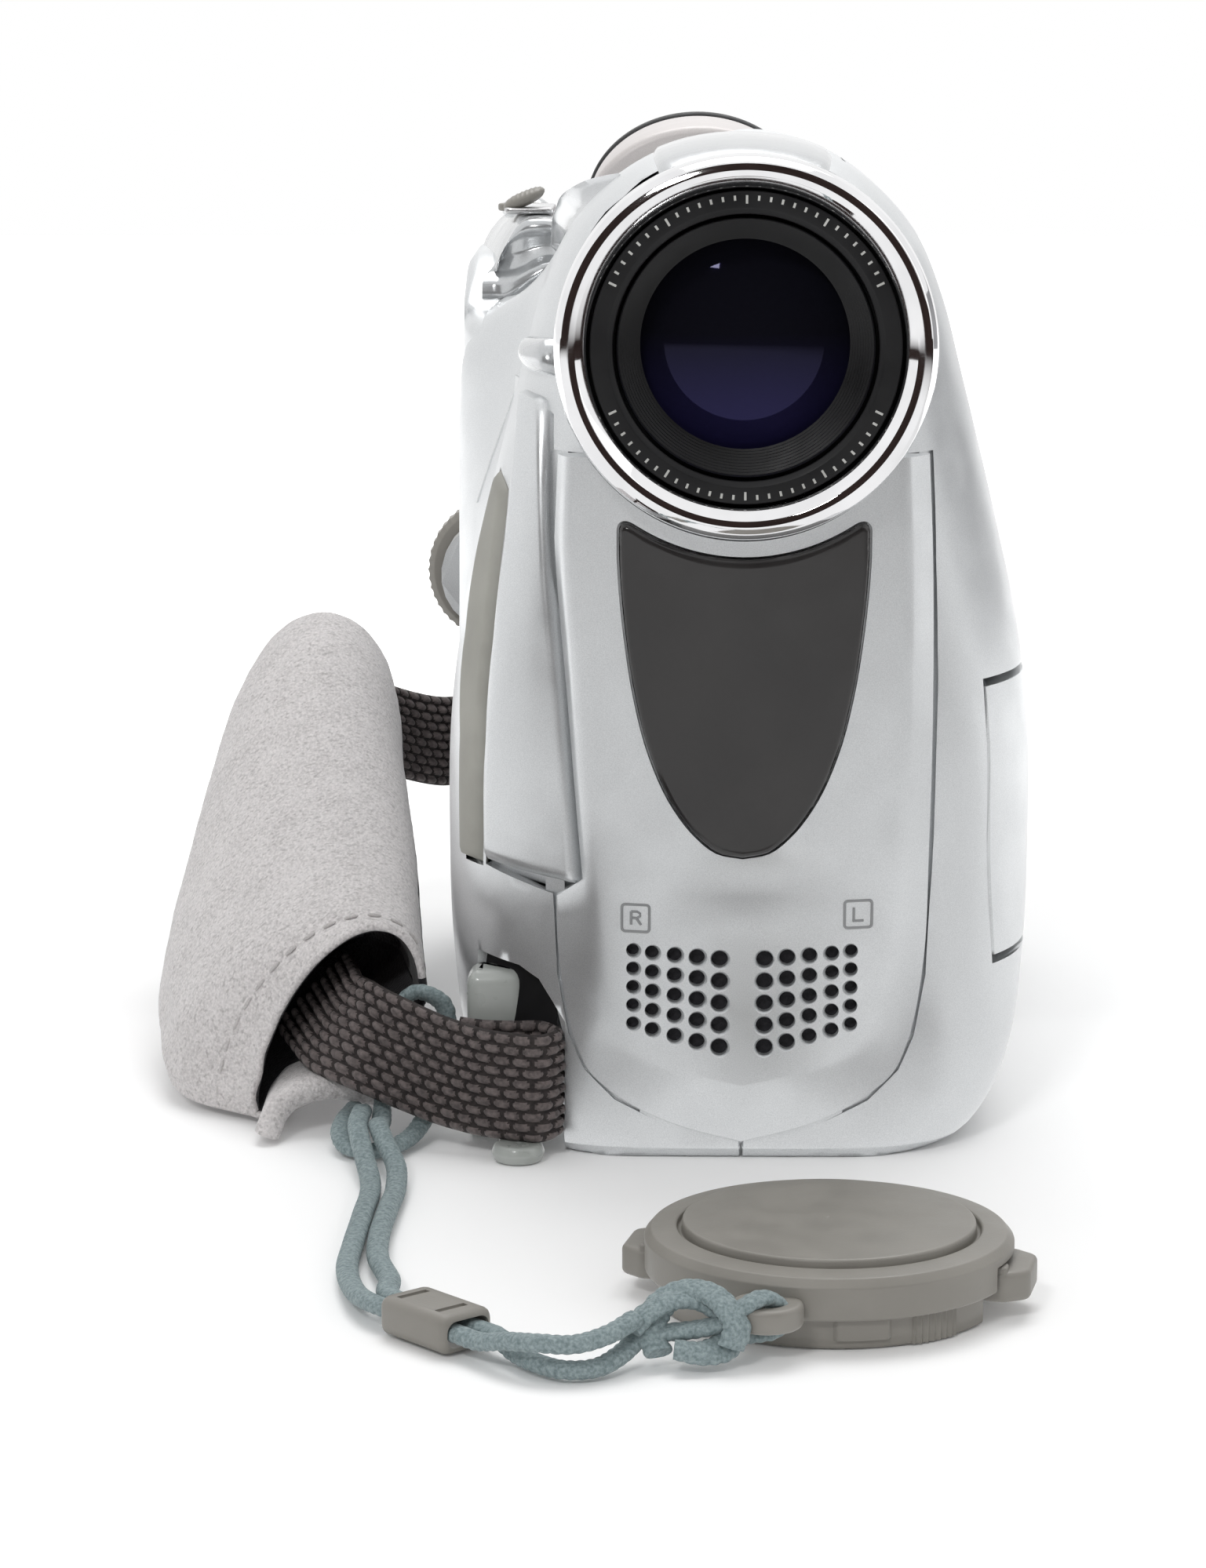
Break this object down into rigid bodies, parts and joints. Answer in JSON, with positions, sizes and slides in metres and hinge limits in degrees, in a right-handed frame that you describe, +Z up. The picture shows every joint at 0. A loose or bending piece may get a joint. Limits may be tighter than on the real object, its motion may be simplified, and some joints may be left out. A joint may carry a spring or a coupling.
{
  "type": "camcorder",
  "caption": "Palm-size tape camcorder with an upright silver body, chrome-ringed lens, folding screen, pull-out viewfinder, padded hand strap and a lens cap on a cord.",
  "frame": {"origin": "on the floor under the lens axis, half way along the body, on the flat base", "axes": "+Z up, -Y the way the lens looks, +X the side of the folding screen, -X the side of the hand strap"},
  "size_m": [0.0873, 0.1862, 0.0943],
  "materials": {
    "silver_paint": "fine metallic silver paint, satin gloss",
    "chrome": "polished plating",
    "black_plastic": "moulded, satin",
    "nameplate_gloss": "polished dark grey, bare",
    "coated_glass": "blue-violet coating",
    "lcd_glass": "dark screen",
    "grey_plastic": "moulded, fine grain",
    "grip_rubber": "soft touch",
    "steel": "plain",
    "circuit_board": "green solder mask",
    "suede": "napped synthetic suede",
    "strap_webbing": "coarse woven nylon",
    "lanyard_cord": "fine braid"
  },
  "bodies": {
    "body": {"top_cover": "silver_paint", "base_plate": "silver_paint", "rear_cover": "silver_paint", "lcd_side_case": "silver_paint", "grip_side_case": "silver_paint", "cassette_hinge_pin": "steel", "lcd_hinge_pin": "steel", "front_panel": "silver_paint", "nameplate": "nameplate_gloss", "lens_barrel": "black_plastic", "lens_ring": "chrome", "lens_front_ring": "black_plastic", "lens_baffle": "black_plastic", "front_lens": "coated_glass", "lens_guide_rod_left": "steel", "lens_guide_rod_right": "steel", "image_sensor": "circuit_board", "finger_grip_strip": "grip_rubber", "terminal_block": "black_plastic", "main_board": "circuit_board", "deck_chassis": "steel", "stereo_microphone": "black_plastic", "tripod_bush": "steel", "strap_webbing_front": "strap_webbing", "strap_webbing_rear": "strap_webbing", "hand_pad": "suede", "strap_loop": "grey_plastic", "lanyard_strand_left": "lanyard_cord", "lanyard_strand_right": "lanyard_cord", "cord_slider": "grey_plastic", "lanyard_knot": "lanyard_cord"},
    "lcd_panel": {"lcd_hinge_block": "silver_paint", "lcd_cover": "silver_paint", "lcd_frame": "black_plastic", "lcd_screen": "lcd_glass"},
    "play_key": {"play_button": "grey_plastic"},
    "stop_key": {"stop_button": "grey_plastic"},
    "tape_door": {"cassette_cover": "silver_paint"},
    "tape_basket": {"cassette_holder": "steel"},
    "zoom_group": {"zoom_lens_group": "coated_glass"},
    "focus_group": {"focus_lens_group": "coated_glass"},
    "terminal_flap": {"terminal_cover": "silver_paint"},
    "dial": {"mode_dial": "grey_plastic"},
    "record_key": {"start_stop_button": "grey_plastic"},
    "zoom_rocker": {"zoom_lever": "grey_plastic"},
    "photo_key": {"photo_button": "silver_paint"},
    "latch": {"battery_latch": "grey_plastic"},
    "eject_key": {"eject_slider": "grey_plastic"},
    "battery": {"battery_pack": "grey_plastic"},
    "viewfinder": {"viewfinder_housing": "silver_paint", "eyecup": "grip_rubber", "eyepiece_lens": "coated_glass"},
    "dioptre": {"dioptre_lever": "grey_plastic"},
    "drum": {"head_drum": "steel"},
    "supply_reel": {"supply_reel_hub": "black_plastic"},
    "takeup_reel": {"takeup_reel_hub": "black_plastic"},
    "capstan_shaft": {"capstan": "steel"},
    "cap": {"lens_cap": "grey_plastic"},
    "tab_left": {"cap_tab_left": "grey_plastic"},
    "tab_right": {"cap_tab_right": "grey_plastic"}
  },
  "joints": [
    {"name": "lcd_swing", "type": "hinge", "parent": "body", "child": "lcd_panel", "pos_m": [0.0246, -0.034, 0.03], "axis": [0, 0, -1], "range_deg": [0, 90]},
    {"name": "play_press", "type": "slide", "parent": "body", "child": "play_key", "axis": [-1, 0, 0], "range_m": [0, 0.0006], "stiffness_N_per_m": 250},
    {"name": "stop_press", "type": "slide", "parent": "body", "child": "stop_key", "axis": [-1, 0, 0], "range_m": [0, 0.0006], "stiffness_N_per_m": 250},
    {"name": "tape_door_swing", "type": "hinge", "parent": "body", "child": "tape_door", "pos_m": [-0.026, 0.018, 0.0358], "axis": [0, -1, 0], "range_deg": [0, 38]},
    {"name": "tape_basket_swing", "type": "hinge", "parent": "body", "child": "tape_basket", "pos_m": [-0.026, 0.018, 0.0358], "axis": [0, -1, 0], "range_deg": [0, 12]},
    {"name": "zoom_travel", "type": "slide", "parent": "body", "child": "zoom_group", "axis": [0, 1, 0], "range_m": [-0.008, 0.006]},
    {"name": "focus_travel", "type": "slide", "parent": "body", "child": "focus_group", "axis": [0, 1, 0], "range_m": [-0.0025, 0.0025]},
    {"name": "terminal_flap_swing", "type": "hinge", "parent": "body", "child": "terminal_flap", "pos_m": [-0.02325, -0.0465, 0.04865], "axis": [-0.0599, -0.111, -0.992], "range_deg": [0, 95]},
    {"name": "mode_dial_turn", "type": "hinge", "parent": "body", "child": "dial", "pos_m": [-0.0266, 0.053, 0.0414], "axis": [0, 1, 0], "range_deg": [-35, 35]},
    {"name": "record_press", "type": "slide", "parent": "body", "child": "record_key", "axis": [0, -1, 0], "range_m": [0, 0.0008], "stiffness_N_per_m": 250},
    {"name": "zoom_rock", "type": "hinge", "parent": "body", "child": "zoom_rocker", "pos_m": [-0.0226, 0.015, 0.0855], "axis": [0, 0, 1], "range_deg": [-12, 12], "stiffness_Nm_per_rad": 0.01},
    {"name": "photo_press", "type": "slide", "parent": "body", "child": "photo_key", "axis": [0, 0, -1], "range_m": [0, 0.0006], "stiffness_N_per_m": 250},
    {"name": "battery_release", "type": "slide", "parent": "body", "child": "latch", "axis": [1, 0, 0], "range_m": [0, 0.0018], "stiffness_N_per_m": 250},
    {"name": "eject_slide", "type": "slide", "parent": "body", "child": "eject_key", "axis": [-1, 0, 0], "range_m": [0, 0.003], "stiffness_N_per_m": 250},
    {"name": "battery_pull", "type": "slide", "parent": "body", "child": "battery", "axis": [0, 1, 0], "range_m": [0, 0.028]},
    {"name": "viewfinder_pull", "type": "slide", "parent": "body", "child": "viewfinder", "axis": [0, 1, 0], "range_m": [0, 0.012]},
    {"name": "dioptre_adjust", "type": "slide", "parent": "viewfinder", "child": "dioptre", "axis": [0, 0, 1], "range_m": [-0.002, 0.002]},
    {"name": "drum_spin", "type": "hinge", "parent": "body", "child": "drum", "pos_m": [-0.009, -0.0195, 0.04], "axis": [1, 0, 0], "continuous": true},
    {"name": "supply_reel_spin", "type": "hinge", "parent": "body", "child": "supply_reel", "pos_m": [-0.006, 0.02, 0.024], "axis": [1, 0, 0], "continuous": true},
    {"name": "takeup_reel_spin", "type": "hinge", "parent": "body", "child": "takeup_reel", "pos_m": [-0.006, 0.02, 0.052], "axis": [1, 0, 0], "continuous": true},
    {"name": "capstan_spin", "type": "hinge", "parent": "body", "child": "capstan_shaft", "pos_m": [-0.002, -0.0105, 0.02], "axis": [1, 0, 0], "continuous": true},
    {"name": "cap_swivel", "type": "hinge", "parent": "body", "child": "cap", "pos_m": [0.00093, -0.11795, 0.0038], "axis": [0, 0, 1], "range_deg": [-20, 20]},
    {"name": "cap_tab_left_press", "type": "slide", "parent": "cap", "child": "tab_left", "axis": [0.9781, -0.2079, 0], "range_m": [0, 0.0012], "stiffness_N_per_m": 250},
    {"name": "cap_tab_right_press", "type": "slide", "parent": "cap", "child": "tab_right", "axis": [-0.9781, 0.2079, 0], "range_m": [0, 0.0012], "stiffness_N_per_m": 250}
  ],
  "couplings": [
    {"joint": "tape_basket_swing", "follows": "tape_door_swing", "ratio": 0.315}
  ]
}
